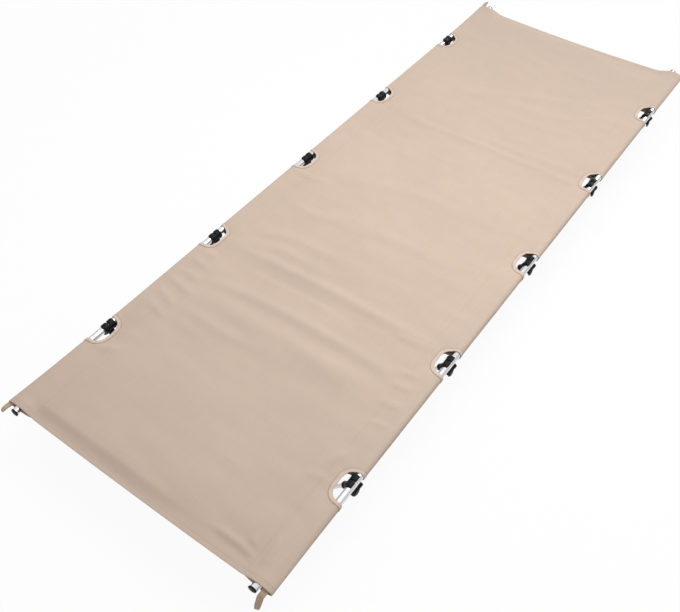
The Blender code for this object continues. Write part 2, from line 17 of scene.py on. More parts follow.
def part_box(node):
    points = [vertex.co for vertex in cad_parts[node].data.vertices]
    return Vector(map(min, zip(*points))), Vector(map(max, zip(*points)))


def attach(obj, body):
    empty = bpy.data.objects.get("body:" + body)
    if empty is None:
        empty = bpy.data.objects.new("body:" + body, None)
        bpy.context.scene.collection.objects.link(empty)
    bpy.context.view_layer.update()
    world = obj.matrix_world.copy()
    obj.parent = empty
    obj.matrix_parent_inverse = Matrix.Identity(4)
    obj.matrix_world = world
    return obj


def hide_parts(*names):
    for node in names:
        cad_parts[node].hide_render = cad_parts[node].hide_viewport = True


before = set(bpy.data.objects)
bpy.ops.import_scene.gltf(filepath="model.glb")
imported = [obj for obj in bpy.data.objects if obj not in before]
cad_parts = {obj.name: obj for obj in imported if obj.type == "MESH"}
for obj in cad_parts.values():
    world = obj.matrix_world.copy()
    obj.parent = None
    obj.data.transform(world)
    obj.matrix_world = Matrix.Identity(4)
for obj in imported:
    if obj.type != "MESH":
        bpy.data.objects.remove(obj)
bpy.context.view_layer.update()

# Sizes read from the frame
RAIL_LOW, RAIL_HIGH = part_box("rail_right_3")
RAIL_RADIUS = (RAIL_HIGH.x - RAIL_LOW.x) / 2
RAIL_X = (RAIL_HIGH.x + RAIL_LOW.x) / 2
RAIL_Z = (RAIL_HIGH.z + RAIL_LOW.z) / 2
RAIL_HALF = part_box("rail_right_5")[1].y
CLOTH_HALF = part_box("bed_cloth")[1].y
LEG_COUNT = 5
LEG_YS = [sum(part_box(f"foot_{n}_right"), Vector()).y / 2 for n in range(1, LEG_COUNT + 1)]
FOOT_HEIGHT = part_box("foot_1_right")[1].z
SIDES = (("left", -1, pi), ("right", 1, 0.0))

# Gap between pieces that touch, the angle from which an edge stays sharp, and a square's corners
GAP = 0.0003
SHARP = radians(40)
SQUARE = ((-1, -1), (1, -1), (1, 1), (-1, 1))

# Rails
RAIL_SECTIONS = 5
RAIL_WALL = 0.0012
SPIGOT_LENGTH = 0.045
NECK_LENGTH = 0.004
TIP_PULLS = {"left": 0.015, "right": 0.023}
CAP_PLUG = 0.012
CAP_HEAD = 0.0032
CAP_RIM = 0.0006
ROUND = 48

# Bed cloth
CLOTH_SHELL = 0.0008
SEAM_X = 0.2709
POCKET_SLACK = 0.0055
MOUTH_FLARES = (0.0065, 0.0015)
MOUTH_INSETS = (0.011, 0.017)
MOUTH_SINK = 0.0005
BED_SAG = 0.007
HEM_DROOP = 0.01
HEM_WIDTH = 0.012
HEM_LIFT = 0.0012
HEM_TURN = 0.00085
DROOP_FADE = (0.255, 0.3)
FLANGE = 0.006
LEG_PITCH = 0.353
CUTOUT_YS = [(n - (LEG_COUNT - 1) / 2) * LEG_PITCH for n in range(LEG_COUNT)]
CUTOUT_HALF = 0.036
CUTOUT_APEX = 0.2975
CUTOUT_APEX_UNDER = 0.2835
CUTOUT_SQUARENESS = 3.1
CUTOUT_DIP = 0.0025
BINDING_WIDTH = 0.0085
STITCH_PITCH = 0.0036
STITCH_LENGTH = 0.0029
STITCH_PROFILE = (
    (0.0, -0.00016, 0.5), (0.22, 0.00012, 1.0), (0.78, 0.00012, 1.0), (1.0, -0.00016, 0.5),
)
THREAD_RADIUS = 0.0003
TAPE_THREAD_LIFTS = (0.0006, -0.0014)
MOUTH_FROM = CUTOUT_YS[-1] + CUTOUT_HALF

# Spacing of the cloth's points: on the bed, round the fold, on the ply under it, along the bed
# and, over a stretch at each end, along it there
BED_PITCH = 0.005
FOLD_PITCH = 0.0022
RETURN_PITCH = 0.0052
LENGTH_PITCH = 0.0064
END_PITCH = 0.004
END_STRETCH = 0.056

# Legs
BOW_RADIUS = 0.0045
STRUT_LEAN = radians(38)
ARCH_RISE_ANGLE = radians(17)
BEND_RADIUS = 0.022
BEND_POINTS, ARCH_POINTS = 13, 22
FOOT_SOLE = 0.0075
PLUG_DEPTH = 0.03
FERRULE_WALL = 0.0012
FOOT_LENGTH = 0.052
FOOT_WIDTH = 0.032
FOOT_CORNER = 0.011
TREAD_PITCH = 0.0085
TREAD_WIDTH = 0.0022
TREAD_DEPTH = 0.001

# Rail clips and levers
CLIP_WIDTH = 0.0295
CLIP_WALL = 0.0039
CLIP_BORE = (RAIL_RADIUS + GAP) / cos(radians(13))
FINGER_WIDTH = 0.0136
FINGER_TIP = radians(62)
SADDLE_FROM = radians(124)
SADDLE_UNDER = radians(238)
SADDLE_TO = radians(309)
RIB_PLACE = 0.0115
RIB_WIDTH = 0.0016
RIB_RISE = 0.0011
SOCKET_WALL = 0.0024
SOCKET_DEPTH = 0.022
SOCKET_FLOOR = 0.0022
PIVOT_RADIUS = 0.0018
HUB_RADIUS = 0.004
HUB_WIDTH = 0.014
EAR_RIM = 0.0007
RUNNING_GAP = 0.0002
TONGUE_LENGTH = 0.018
TONGUE_WIDTH = 0.0228
TONGUE_THICKNESS = 0.0036
TONGUE_FROM, TONGUE_SWEEP = radians(-94), radians(8)
STRUT_DIRECTION = Vector((-sin(STRUT_LEAN), 0, -cos(STRUT_LEAN)))
STRUT_START = CLIP_BORE + SOCKET_FLOOR + GAP
PIVOT_ANGLE = radians(-60)
PIVOT_DISTANCE = RAIL_RADIUS + HUB_RADIUS + 0.002
PIVOT = Vector((cos(PIVOT_ANGLE), 0, sin(PIVOT_ANGLE))) * PIVOT_DISTANCE
CAM_RADIUS = PIVOT_DISTANCE - RAIL_RADIUS - GAP

# Webbing pull loops: a place is millimetres outboard of the seat, past the mouth and above the rail
WEBBING_WIDTH = 0.0125
WEBBING_PLY = 0.0013
WEBBING_TWIST = radians(25)
WEBBING_BARS, BARS_AT_SCALE_ONE = 0.0016, 3.2
LOOP_SEATS = {"left": RAIL_X + 0.0073, "right": RAIL_X - 0.0025}
LOOP_ROOT = ((-1.6, -22, 1.0), (-0.9, -2, 1.0))
LOOP_RUNS = {
    "near_left": ((-0.1, 8, 2.2), (0.7, 16, 2.0), (1.7, 23, -1.0)),
    "near_right": (
        (-1.3, 8, 0), (-2.8, 13, -6), (-4.8, 15, -20), (-7.8, 17, -38), (-10.8, 18, -56),
    ),
    "far_left": ((-0.1, 12, 3.2), (0.7, 24, 5.0), (1.7, 35, 5.0)),
    "far_right": ((-2.3, 8, 0.4), (-3.3, 13, -5), (-4.3, 15, -16), (-4.8, 15, -30)),
}

# Camera, at the photograph's angle
CAMERA_PLACE = (0.7451, -1.3318, 1.4822)
CAMERA_YAW, CAMERA_DOWN, CAMERA_ROLL = radians(35.521), radians(48.652), radians(0.423)
CAMERA_LENS = 44.05

# Studio
FLOOR_HALF = 8.0
FLOOR_GREY = (0.55, 0.55, 0.55)
FLOOR_GLOW = 1.06
FLOOR_GLOW_SHARE = 0.88
WORLD_LEVEL = 0.565
HORIZON_DIMMING = 0.6
LAMPS = (
    ("key", (0.3, 5.3, 2.9), (0, 0.1, 0.1), (2.4, 1.2), 97),
    ("overhead", (0.15, 0.1, 1.5), (0.15, 0.1, 0.1), (1.0, 1.0), 9.9),
)


# Meshes

def mesh_from(name, points, faces, sharp=SHARP):
    """Mesh shaded smooth across its shallow edges."""
    mesh = bpy.data.meshes.new(name)
    mesh.from_pydata([tuple(point) for point in points], [], faces)
    mesh.update()
    mesh.shade_smooth()
    mesh.set_sharp_from_angle(angle=sharp)
    return mesh


def closed_mesh(name, points, faces):
    """Closed mesh whose faces look outward."""
    mesh = mesh_from(name, points, faces)
    shell = bmesh.new()
    shell.from_mesh(mesh)
    if shell.calc_volume(signed=True) < 0:
        mesh.flip_normals()
    shell.free()
    return mesh


def loft_data(rings, closed=False, start=0):
    """Points and faces of a skin through rings of equal point count, numbered from a start."""
    count, size = len(rings), len(rings[0])
    points = [point for ring in rings for point in ring]
    faces = []
    for k in range(count if closed else count - 1):
        near, far = start + k * size, start + (k + 1) % count * size
        for i in range(size):
            j = (i + 1) % size
            faces.append((near + i, near + j, far + j, far + i))
    if not closed:
        end = start + len(points)
        faces += [tuple(range(start, start + size))[::-1], tuple(range(end - size, end))]
    return points, faces


def loft(name, rings, closed=False):
    return closed_mesh(name, *loft_data(rings, closed))


def arc(start, end, count):
    """Angles from start to end, both included."""
    return [start + (end - start) * i / (count - 1) for i in range(count)]


def around(radius, angle):
    """Point at a radius and angle in the XZ plane, from outboard towards up."""
    return Vector((radius * cos(angle), 0, radius * sin(angle)))


def prism(name, outline, width):
    """Outline in the XZ plane, extruded evenly to both sides of y = 0."""
    rings = [[point + Vector((0, y, 0)) for point in outline] for y in (-width / 2, width / 2)]
    return loft(name, rings)


def stretch(radius, start, end, count, centre=Vector()):
    """Part of a round outline in the XZ plane."""
    return [centre + around(radius, angle) for angle in arc(start, end, count)]


def disc(radius, facets, centre=Vector()):
    """Round outline in the XZ plane."""
    return [centre + around(radius, 2 * pi * k / facets) for k in range(facets)]


def smoothed(rows, count):
    """Rows of numbers resampled along a smooth curve through them."""
    rows = np.array(rows, float)
    spans = len(rows) - 1
    result = []
    for place in np.linspace(0, spans, count):
        i = min(int(place), spans - 1)
        t = place - i
        before, start, end, after = (rows[min(max(k, 0), spans)] for k in range(i - 1, i + 3))
        result.append(0.5 * (
            2 * start + (end - before) * t
            + (2 * before - 5 * start + 4 * end - after) * t ** 2
            + (3 * start - before - 3 * end + after) * t ** 3
        ))
    return np.array(result)


def sweep(name, path, radii, facets=32, turned_in=0):
    """Round bar along a path in the XZ plane; its last rings may turn back into its own bore."""
    rings = []
    last = len(path) - 1 - turned_in
    for i, (centre, radius) in enumerate(zip(path, radii)):
        k = min(i, last)
        along = path[min(k + 1, last)] - path[max(k - 1, 0)]
        across = along.normalized().cross(Vector((0, 1, 0)))
        rings.append([
            centre + radius * (cos(turn) * across + sin(turn) * Vector((0, 1, 0)))
            for turn in (2 * pi * n / facets for n in range(facets))
        ])
    return loft(name, rings)


def placed(name, data):
    """New object in the scene."""
    obj = bpy.data.objects.new(name, data)
    bpy.context.scene.collection.objects.link(obj)
    return obj


def modified(name, mesh, *modifiers):
    """Mesh after modifiers, each given as its kind and its settings."""
    obj = placed(name, mesh)
    for kind, settings in modifiers:
        modifier = obj.modifiers.new(kind, kind)
        for key, value in settings.items():
            setattr(modifier, key, value)
    graph = bpy.context.evaluated_depsgraph_get()
    result = bpy.data.meshes.new_from_object(obj.evaluated_get(graph))
    result.name = name
    bpy.data.objects.remove(obj)
    return result


def moulded(name, mesh, added, cut, voxel, keep, soften):
    """Mesh with others added and cut away, its edges rounded a little as a mould leaves them."""
    steps = []
    for operation, tools in (("UNION", added), ("DIFFERENCE", cut)):
        for tool in tools:
            steps.append(("BOOLEAN", {"operation": operation, "object": placed("tool", tool)}))
    sharp = modified(name, mesh, *steps)
    for _, settings in steps:
        bpy.data.objects.remove(settings["object"])
    result = modified(
        name, sharp, ("REMESH", {"mode": "VOXEL", "voxel_size": voxel}),
        ("SMOOTH", {"factor": 0.5, "iterations": soften}), ("DECIMATE", {"ratio": keep}),
    )
    result.shade_smooth()
    return result


def shifted(mesh, offset):
    """Copy of a mesh, moved."""
    copy = mesh.copy()
    copy.transform(Matrix.Translation(offset))
    return copy


def piece(name, mesh, material, body, stands_for=None, location=(0, 0, 0), turn=0.0):
    """Object that shows a mesh, rides on a body and may stand for a node."""
    mesh.materials.clear()
    mesh.materials.append(material)
    obj = placed(name, mesh)
    obj.location = location
    obj.rotation_euler = (0, 0, turn)
    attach(obj, body)
    if stands_for:
        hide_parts(stands_for)
    return obj


# Materials

def feed(made, socket, source):
    made.id_data.links.new(source, made.inputs[socket])


def node(near, kind, sockets=(), **settings):
    """Node in the tree of another node or socket; sockets maps its inputs to values or outputs."""
    made = near.id_data.nodes.new("ShaderNode" + kind)
    for key, value in settings.items():
        setattr(made, key, value)
    for key, value in dict(sockets).items():
        if isinstance(value, bpy.types.NodeSocket):
            feed(made, key, value)
        else:
            made.inputs[key].default_value = value
    return made


def math_node(operation, *values):
    return node(values[0], "Math", enumerate(values), operation=operation).outputs[0]


def scaled(source, scale):
    """Coordinates multiplied axis by axis."""
    return node(source, "VectorMath", {0: source, 1: scale}, operation="MULTIPLY").outputs[0]


def noise(source, scale, detail):
    """Noise from 0 to 1 over coordinates."""
    made = node(source, "TexNoise", {"Vector": source, "Scale": scale, "Detail": detail})
    return made.outputs["Fac"]


def mapped(value, low, high, to_low, to_high):
    """Value carried from one range to another, and held inside it."""
    return node(value, "MapRange", {
        "Value": value, "From Min": low, "From Max": high, "To Min": to_low, "To Max": to_high,
    }, clamp=True).outputs[0]


def around_one(*layers):
    """Product of layers, each a source from 0 to 1 that swings by an amount about 1."""
    product = None
    for source, amount in layers:
        swing = mapped(source, 0.25, 0.75, 1 - amount, 1 + amount)
        product = swing if product is None else math_node("MULTIPLY", product, swing)
    return product


def make_material(name, colour, roughness, **inputs):
    """Material and its shader, before anything varies over the surface."""
    material = bpy.data.materials.new(name)
    material.use_nodes = True
    material.diffuse_color = (*colour, 1.0)
    shader = material.node_tree.nodes["Principled BSDF"]
    inputs.update(Base_Color=(*colour, 1.0), Roughness=roughness)
    for key, value in inputs.items():
        shader.inputs[key.replace("_", " ")].default_value = value
    return material, shader


def tint(shader, colour, value):
    """Colour whose brightness follows a value."""
    shade = node(shader, "HueSaturation", {"Value": value, "Color": (*colour, 1.0)})
    feed(shader, "Base Color", shade.outputs[0])


def vary_roughness(shader, source, low, high):
    feed(shader, "Roughness", mapped(source, 0.3, 0.7, low, high))


def bump(shader, height, distance, strength=1.0):
    made = node(shader, "Bump", {"Height": height, "Distance": distance, "Strength": strength})
    feed(shader, "Normal", made.outputs[0])


def flat_places(shader):
    """Place on the cloth or tape before it was sewn, in metres."""
    return node(shader, "Attribute", attribute_name="flat").outputs["Vector"]


def object_places(shader):
    return node(shader, "TexCoord").outputs["Object"]


def woven(name, colour, pitch, mottle, lines=()):
    """Plain weave of a thread pitch, softly mottled, with painted shade along (place, half width,
    depth) lines.
    """
    roughness = 0.8
    material, shader = make_material(
        name, colour, roughness, Sheen_Weight=0.12, Sheen_Roughness=0.5, Specular_IOR_Level=0.25
    )
    flat = flat_places(shader)
    split = node(shader, "SeparateXYZ", {0: scaled(flat, (pi / pitch,) * 3)}).outputs
    weave = math_node("MULTIPLY", math_node("SINE", split["X"]), math_node("SINE", split["Y"]))
    warp = noise(scaled(flat, (0.7 / pitch, 14, 1)), 1.0, 2)
    weft = noise(scaled(flat, (14, 0.7 / pitch, 1)), 1.0, 2)
    cloud = noise(flat, mottle, 4)
    grain = math_node("MULTIPLY_ADD", weave, 0.5, 0.5)
    value = around_one((warp, 0.035), (weft, 0.035), (cloud, 0.03), (grain, 0.05))
    across = node(shader, "SeparateXYZ", {0: flat}).outputs["X"]
    # Painted shade: each line darkens the colour by its depth near a place across the flat tape
    for place, half, shade_depth in lines:
        off = math_node("ABSOLUTE", math_node("SUBTRACT", across, place))
        value = math_node("MULTIPLY", value, mapped(off, 0, half, 1 - shade_depth, 1))
    tint(shader, colour, value)
    vary_roughness(shader, cloud, roughness - 0.05, roughness + 0.06)
    bump(shader, weave, 0.00004, 0.7)
    return material


def webbing_material(name, colour):
    """Heavy webbing: bars across the strap, with a soft worn face."""
    material, shader = make_material(name, colour, 0.85, Sheen_Weight=0.2, Specular_IOR_Level=0.2)
    flat = flat_places(shader)
    scale = 1 / WEBBING_BARS / BARS_AT_SCALE_ONE
    bars = node(
        shader, "TexWave", {"Vector": flat, "Scale": scale, "Distortion": 0.6, "Detail": 1.0},
        bands_direction="Y",
    ).outputs["Fac"]
    fuzz = noise(scaled(flat, (1500, 600, 1500)), 1.0, 3)
    tint(shader, colour, around_one((bars, 0.1), (fuzz, 0.16)))
    bump(shader, math_node("ADD", bars, math_node("MULTIPLY", fuzz, 0.5)), 0.0002)
    return material


def thread_material(name, colour):
    material, shader = make_material(name, colour, 0.7, Sheen_Weight=0.3)
    tint(shader, colour, around_one((noise(object_places(shader), 1800, 2), 0.12)))
    return material


def aluminium_material(name, colour, roughness, streak):
    """Drawn tube: fine scratches along it and a faint unevenness of polish."""
    material, shader = make_material(name, colour, roughness, Metallic=1.0)
    places = object_places(shader)
    lines = noise(scaled(places, (2600, 26, 2600)), 1.0, 4)
    haze = noise(places, 60, 3)
    mixed = math_node("MULTIPLY_ADD", haze, 0.5, math_node("MULTIPLY", lines, 0.5))
    tint(shader, colour, around_one((lines, streak), (haze, 0.03)))
    vary_roughness(shader, mixed, roughness - 0.06, roughness + 0.1)
    bump(shader, lines, 0.00001, 0.5)
    return material


def plastic_material(name, colour, roughness, grain, scale):
    """Moulded plastic or rubber with a fine spark-eroded grain and faint scuffs."""
    material, shader = make_material(name, colour, roughness, Specular_IOR_Level=0.15)
    places = object_places(shader)
    fine = noise(places, scale, 2)
    scuff = noise(places, 220, 5)
    tint(shader, colour, around_one((fine, 0.12), (scuff, 0.22)))
    vary_roughness(shader, scuff, roughness - 0.07, roughness + 0.12)
    bump(shader, fine, grain, 0.8)
    return material


CLOTH_COLOUR = (0.63, 0.495, 0.4)
BINDING_COLOUR = (0.7, 0.56, 0.465)
THREAD_COLOUR = (0.58, 0.45, 0.36)
TAPE_THREAD_COLOUR = (0.38, 0.26, 0.2)
# Painted shade on the binding tape: the fold's shadow at its outer edge and the rolled edge's
# shadow at the cutout, each as place across the tape, half width and depth
TAPE_EDGE_SHADE_LINES = ((0.009, 0.0013, 0.55), (-0.001, 0.0014, 0.4))
WEBBING_COLOUR = (0.58, 0.44, 0.31)


# Bed cloth. A place on it is (u, v): u across the flat cloth from its middle, v along it.

OUTER = RAIL_RADIUS + GAP + CLOTH_SHELL
LOW_DROP = OUTER + POCKET_SLACK
U_FOLD = RAIL_X + OUTER * pi / 2
U_LOW = U_FOLD + pi / 2 * sqrt((OUTER ** 2 + LOW_DROP ** 2) / 2)
U_BACK = U_LOW + hypot(RAIL_X - SEAM_X, LOW_DROP + OUTER) * 1.02
U_EDGE = U_BACK + FLANGE
U_APEX_UNDER = U_LOW + (U_BACK - U_LOW) * (RAIL_X - CUTOUT_APEX_UNDER) / (RAIL_X - SEAM_X)
CUTOUT_REACHES = (U_FOLD - CUTOUT_APEX, U_APEX_UNDER - U_FOLD)

# How many times the folds' heights below are raised
FOLD_RISE = 2.7

# Folds of the stretched cloth in millimetres: half width, height, and the points of its crest
FOLDS = (
    (18, 1.6, -285, -352, -150, -338, 0, -330, 160, -332, 290, -335),
    (18, 1.6, -270, -472, -100, -445, 50, -440, 250, -446),
    (28, 1.6, -230, -512, 0, -505, 240, -505),
    (16, 0.8, -240, -562, -114, -563, -18, -558),
    (40, 1.2, -104, -560, 139, -513, 249, -495),
    (10, -0.6, -225, -381, -19, -366, 95, -374),
    (20, 1, -278, -338, -161, -295, -19, -291),
    (18, 0.9, -275, -304, -193, -255, -29, -239),
    (24, 0.9, -256, -215, -88, -116, 94, -111, 225, -105),
    (18, 0.8, -271, -158, -137, -151, 9, -131),
    (24, 0.9, -227, -8, -112, 26, 30, 59, 165, 45),
    (12, 1, -276, 315, -143, 312, 21, 322, 197, 322, 310, 317),
    (14, 0.6, -11, 352, 153, 353, 249, 359),
    (22, 1, -196, 476, -46, 554, 80, 615, 220, 672),
    (20, 0.8, -132, 507, -17, 531, 144, 546, 288, 650),
    (20, 0.7, 0, 471, 144, 486, 239, 500),
    (9, 0.9, -308, -400, -262, -408),
    (9, 0.9, -304, -438, -245, -444),
    (9, 1, -306, -479, -242, -481),
    (10, 1, -312, -512, -235, -522),
    (10, 0.9, -309, -548, -240, -572),
    (10, 0.8, -305, -591, -229, -607),
    (9, 0.9, 185, -352, 270, -349),
    (9, 0.9, 244, -432, 299, -423),
    (9, 0.9, 249, -467, 304, -458),
    (9, 0.9, 257, -515, 310, -505),
    (9, 0.8, 268, -565, 309, -557),
    (10, 1, -308, -750, -256, -729, -248, -707),
    (10, 0.9, -306, -53, -257, -54, -220, -39),
    (10, 0.9, 257, -697, 276, -643),
    (10, 0.8, 283, -716, 233, -727),
    (9, 1.2, 164, -905, 230, -905, 255, -909, 270, -918),
    (8, 0.9, 241, -880, 254, -896),
    (9, 1.2, 280, -852, 289, -875, 292, -898, 294, -922),
)


def smoothstep(low, high, value):
    share = np.clip((value - low) / (high - low), 0, 1)
    return share * share * (3 - 2 * share)


def ridge(u, v, points, width, height):
    """Height of a soft fold along a line, fading at its ends."""
    nearest = np.full(u.shape, 9.0)
    place = np.zeros(u.shape)
    done = 0.0
    total = sum(np.linalg.norm(b - a) for a, b in zip(points, points[1:]))
    for a, b in zip(points, points[1:]):
        along = b - a
        length = np.linalg.norm(along)
        share = np.clip(((u - a[0]) * along[0] + (v - a[1]) * along[1]) / length ** 2, 0, 1)
        distance = np.hypot(u - a[0] - share * along[0], v - a[1] - share * along[1])
        place = np.where(distance < nearest, (done + share * length) / total, place)
        nearest = np.minimum(nearest, distance)
        done += length
    fade = smoothstep(0, 0.3, place) * smoothstep(0, 0.3, 1 - place) * 0.75 + 0.25
    return height * np.exp(-(nearest / (0.8 * width)) ** 2) * fade


def undulations(seed, count, shortest, longest, height):
    """Random waves as (direction and number, phase, height)."""
    rng = random.Random(seed)
    waves = []
    for _ in range(count):
        length = exp(rng.uniform(log(shortest), log(longest)))
        heading = rng.gauss(pi / 2, 0.45)
        number = 2 * pi / length
        waves.append((
            number * cos(heading), number * sin(heading),
            rng.uniform(0, 2 * pi), height * (length / longest) * rng.uniform(0.5, 1),
        ))
    return waves


WAVES = undulations(4, 9, 0.16, 0.6, 0.0009) + undulations(11, 14, 0.03, 0.09, 0.0002)


def cutout_middle(v):
    """Middle of the nearest cutout, along the bed."""
    last = LEG_COUNT // 2
    return np.clip(np.round(v / LEG_PITCH), -last, last) * LEG_PITCH


def cutout_places(u, v):
    """Distance past the nearest cutout's edge, as a share of its size, and the angle round it."""
    across = np.abs(u) - U_FOLD
    across = across / np.where(across < 0, *CUTOUT_REACHES)
    along = (v - cutout_middle(v)) / CUTOUT_HALF
    power = CUTOUT_SQUARENESS
    radius = (np.abs(across) ** power + np.abs(along) ** power) ** (1 / power)
    return radius, np.arctan2(along, across)


def fold_height(u, v):
    """How far folds, waves and puckers lift the cloth off its plain stretched shape."""
    height = np.zeros(u.shape)
    for width, rise, *crest in FOLDS:
        points = np.reshape(crest, (-1, 2)) / 1000
        height += ridge(u, v, points, width / 1000, FOLD_RISE * rise / 1000)
    for number_u, number_v, phase, rise in WAVES:
        height += rise * np.sin(number_u * u + number_v * v + phase)
    radius, angle = cutout_places(u, v)
    pucker = np.exp(-((radius - 1.25) / 0.35) ** 2)
    height += 0.0005 * pucker * np.sin(13 * angle + 3 * np.sin(v * 17))
    return height - CUTOUT_DIP * np.exp(-((radius - 1).clip(0) / 0.5) ** 2)


def bed_surface(u, v):
    """Outer face of the cloth at places on it, as an array of points."""
    u, v = np.broadcast_arrays(u, v)
    side = np.where(u < 0, -1.0, 1.0)
    reach = np.abs(u)

    def near_end(start, stop):
        """From 0 to 1 between two distances from the bed's end."""
        return smoothstep(CLOTH_HALF - start, CLOTH_HALF - stop, np.abs(v))

    mouth = np.clip((np.abs(v) - MOUTH_FROM) / (CLOTH_HALF - MOUTH_FROM), 0, 1.05) ** 1.4
    hem = HEM_LIFT * near_end(0.028, 0.01)
    top = RAIL_Z + OUTER + hem
    tangent = RAIL_X - np.where(u < 0, *MOUTH_INSETS) * mouth
    fold_x = RAIL_X + OUTER + np.where(u < 0, *MOUTH_FLARES) * mouth
    fold_z = RAIL_Z - MOUTH_SINK * mouth
    low = RAIL_Z - OUTER - POCKET_SLACK * (1 - 0.4 * mouth)
    low = low + 0.0012 * np.sin(v * 31 + side) * np.sin(v * 13)
    narrow, broad = near_end(0.036, 0.008), near_end(0.09, 0.003)
    hang = HEM_DROOP * (broad + (narrow - broad) * smoothstep(0.24, -0.04, u))

    def panel(x):
        """Height of the bed between the rails, before its folds."""
        sag = BED_SAG * np.clip(1 - (x / tangent) ** 2, 0, 1)
        return top - sag - hang * (1 - smoothstep(*DROOP_FADE, x))

    squeeze = (tangent - SEAM_X) / (RAIL_X - SEAM_X)
    plain_x = np.where(reach > SEAM_X, SEAM_X + (reach - SEAM_X) * squeeze, reach)
    lift = fold_height(u, v) * (1 - smoothstep(RAIL_X - 0.016, RAIL_X - 0.002, reach))
    lift = lift * (1 - 0.7 * near_end(0.02, 0))
    over = np.clip((reach - RAIL_X) / (U_FOLD - RAIL_X), 0, 1) * pi / 2
    under = np.clip((reach - U_FOLD) / (U_LOW - U_FOLD), 0, 1) * pi / 2
    back = np.clip((reach - U_LOW) / (U_BACK - U_LOW), 0, 1)
    flange = np.clip(reach - U_BACK, 0, None)
    seam_u = SEAM_X - flange
    plies = 2 * CLOTH_SHELL + 0.0001 + hem
    seam_z = panel(seam_u) + fold_height(side * seam_u, v) - plies
    parts = [reach <= RAIL_X, reach <= U_FOLD, reach <= U_LOW]
    bulge = fold_x - tangent
    x = np.select(
        parts, [plain_x, tangent + bulge * np.sin(over), tangent + bulge * np.cos(under)],
        tangent - back * (tangent - SEAM_X) - flange,
    )
    on_top = fold_z + (top - fold_z) * np.cos(over)
    below = fold_z + (low - fold_z) * np.sin(under)
    z = np.select(parts, [panel(plain_x) + lift, on_top, below], low + (seam_z - low) * back ** 2.2)
    return np.stack([side * x, v, z], axis=-1)


def unit(vectors):
    return vectors / np.linalg.norm(vectors, axis=-1, keepdims=True)


def bed_normal(u, v):
    """Unit normals of the outer face."""
    step = 0.0006
    across = bed_surface(u + step, v) - bed_surface(u - step, v)
    along = bed_surface(u, v + step) - bed_surface(u, v - step)
    return unit(np.cross(across, along))


def spread(stops, pitch):
    """Values through stops, evenly spaced between each two at about a pitch."""
    values = [stops[0]]
    for start, end in zip(stops, stops[1:]):
        count = max(1, round((end - start) / pitch))
        values += [start + (end - start) * (k + 1) / count for k in range(count)]
    return np.array(values)


def set_flat(mesh, flat):
    """Stores each vertex's place on the flat cloth or tape."""
    values = np.zeros((len(mesh.vertices), 3), np.float32)
    values[:, :flat.shape[1]] = flat
    mesh.attributes.new("flat", "FLOAT_VECTOR", "POINT").data.foreach_set("vector", values.ravel())


def cloth_mesh():
    """The whole sewn sheet, its hems folded under and its cutouts open."""
    bed = spread((0, SEAM_X, RAIL_X), BED_PITCH)
    fold = spread((RAIL_X, U_FOLD, U_LOW), FOLD_PITCH)
    return_ply = spread((U_LOW, U_BACK, U_EDGE), RETURN_PITCH)
    right = np.concatenate([bed, fold[1:], return_ply[1:]])
    us = np.concatenate([-right[:0:-1], right])
    calm = CLOTH_HALF - END_STRETCH
    vs = np.concatenate([
        spread((-CLOTH_HALF, -calm), END_PITCH)[:-1], spread((-calm, calm), LENGTH_PITCH),
        spread((calm, CLOTH_HALF), END_PITCH)[1:],
    ])
    grid_u, grid_v = np.meshgrid(us, vs)
    centres = ((grid[1:, 1:] + grid[:-1, :-1]) / 2 for grid in (grid_u, grid_v))
    open_cells = cutout_places(*centres)[0] < 1
    used, gone = np.zeros((2, *grid_u.shape), bool)
    for rows in (slice(0, -1), slice(1, None)):
        for columns in (slice(0, -1), slice(1, None)):
            used[rows, columns] |= ~open_cells
            gone[rows, columns] |= open_cells
    edge = used & gone
    radius = cutout_places(grid_u, grid_v)[0]
    middle = cutout_middle(grid_v)
    on_edge = np.sign(grid_u) * (U_FOLD + (np.abs(grid_u) - U_FOLD) / radius)
    grid_u = np.where(edge, on_edge, grid_u)
    grid_v = np.where(edge, middle + (grid_v - middle) / radius, grid_v)

    made = int(used.sum())
    number = np.full(grid_u.shape, -1)
    number[used] = np.arange(made)
    points = [bed_surface(grid_u[used], grid_v[used])]
    flat = [np.stack([grid_u[used], grid_v[used]], -1)]
    corners = (number[:-1, :-1], number[:-1, 1:], number[1:, 1:], number[1:, :-1])
    faces = np.stack(corners, -1)[~open_cells].tolist()
    columns = np.nonzero(np.abs(us) <= U_LOW + 1e-6)[0]
    across = us[columns]
    hem_rows = [(HEM_TURN * sin(t), -HEM_TURN * (1 - cos(t))) for t in arc(0, pi, 6)[1:]]
    hem_rows += [(-HEM_WIDTH * share, -2 * HEM_TURN) for share in (0.2, 0.5, 1.0)]
    for end in (-1, 1):
        row = number[0 if end < 0 else -1, columns]
        line = bed_surface(across, end * CLOTH_HALF)
        normal = bed_normal(across, end * (CLOTH_HALF - 0.002))
        for past, lift in hem_rows:
            back = bed_surface(across, end * (CLOTH_HALF + min(past, 0)))
            rise = (back - line) if past < 0 else np.array([0, end * past, 0])
            points.append(line + rise + normal * lift)
            flat_v = np.full(across.shape, end * (CLOTH_HALF + abs(past)))
            flat.append(np.stack([across, flat_v], -1))
            new = made + np.arange(len(across))
            made += len(across)
            faces += np.stack([row[:-1], row[1:], new[1:], new[:-1]], -1)[:, ::end].tolist()
            row = new
    mesh = mesh_from("bed_cloth", np.concatenate(points), faces, radians(60))
    set_flat(mesh, np.concatenate(flat))
    return modified("bed_cloth", mesh, ("SOLIDIFY", {"thickness": CLOTH_SHELL, "offset": -1}))


def signed_power(values, exponent):
    return np.sign(values) * np.abs(values) ** exponent


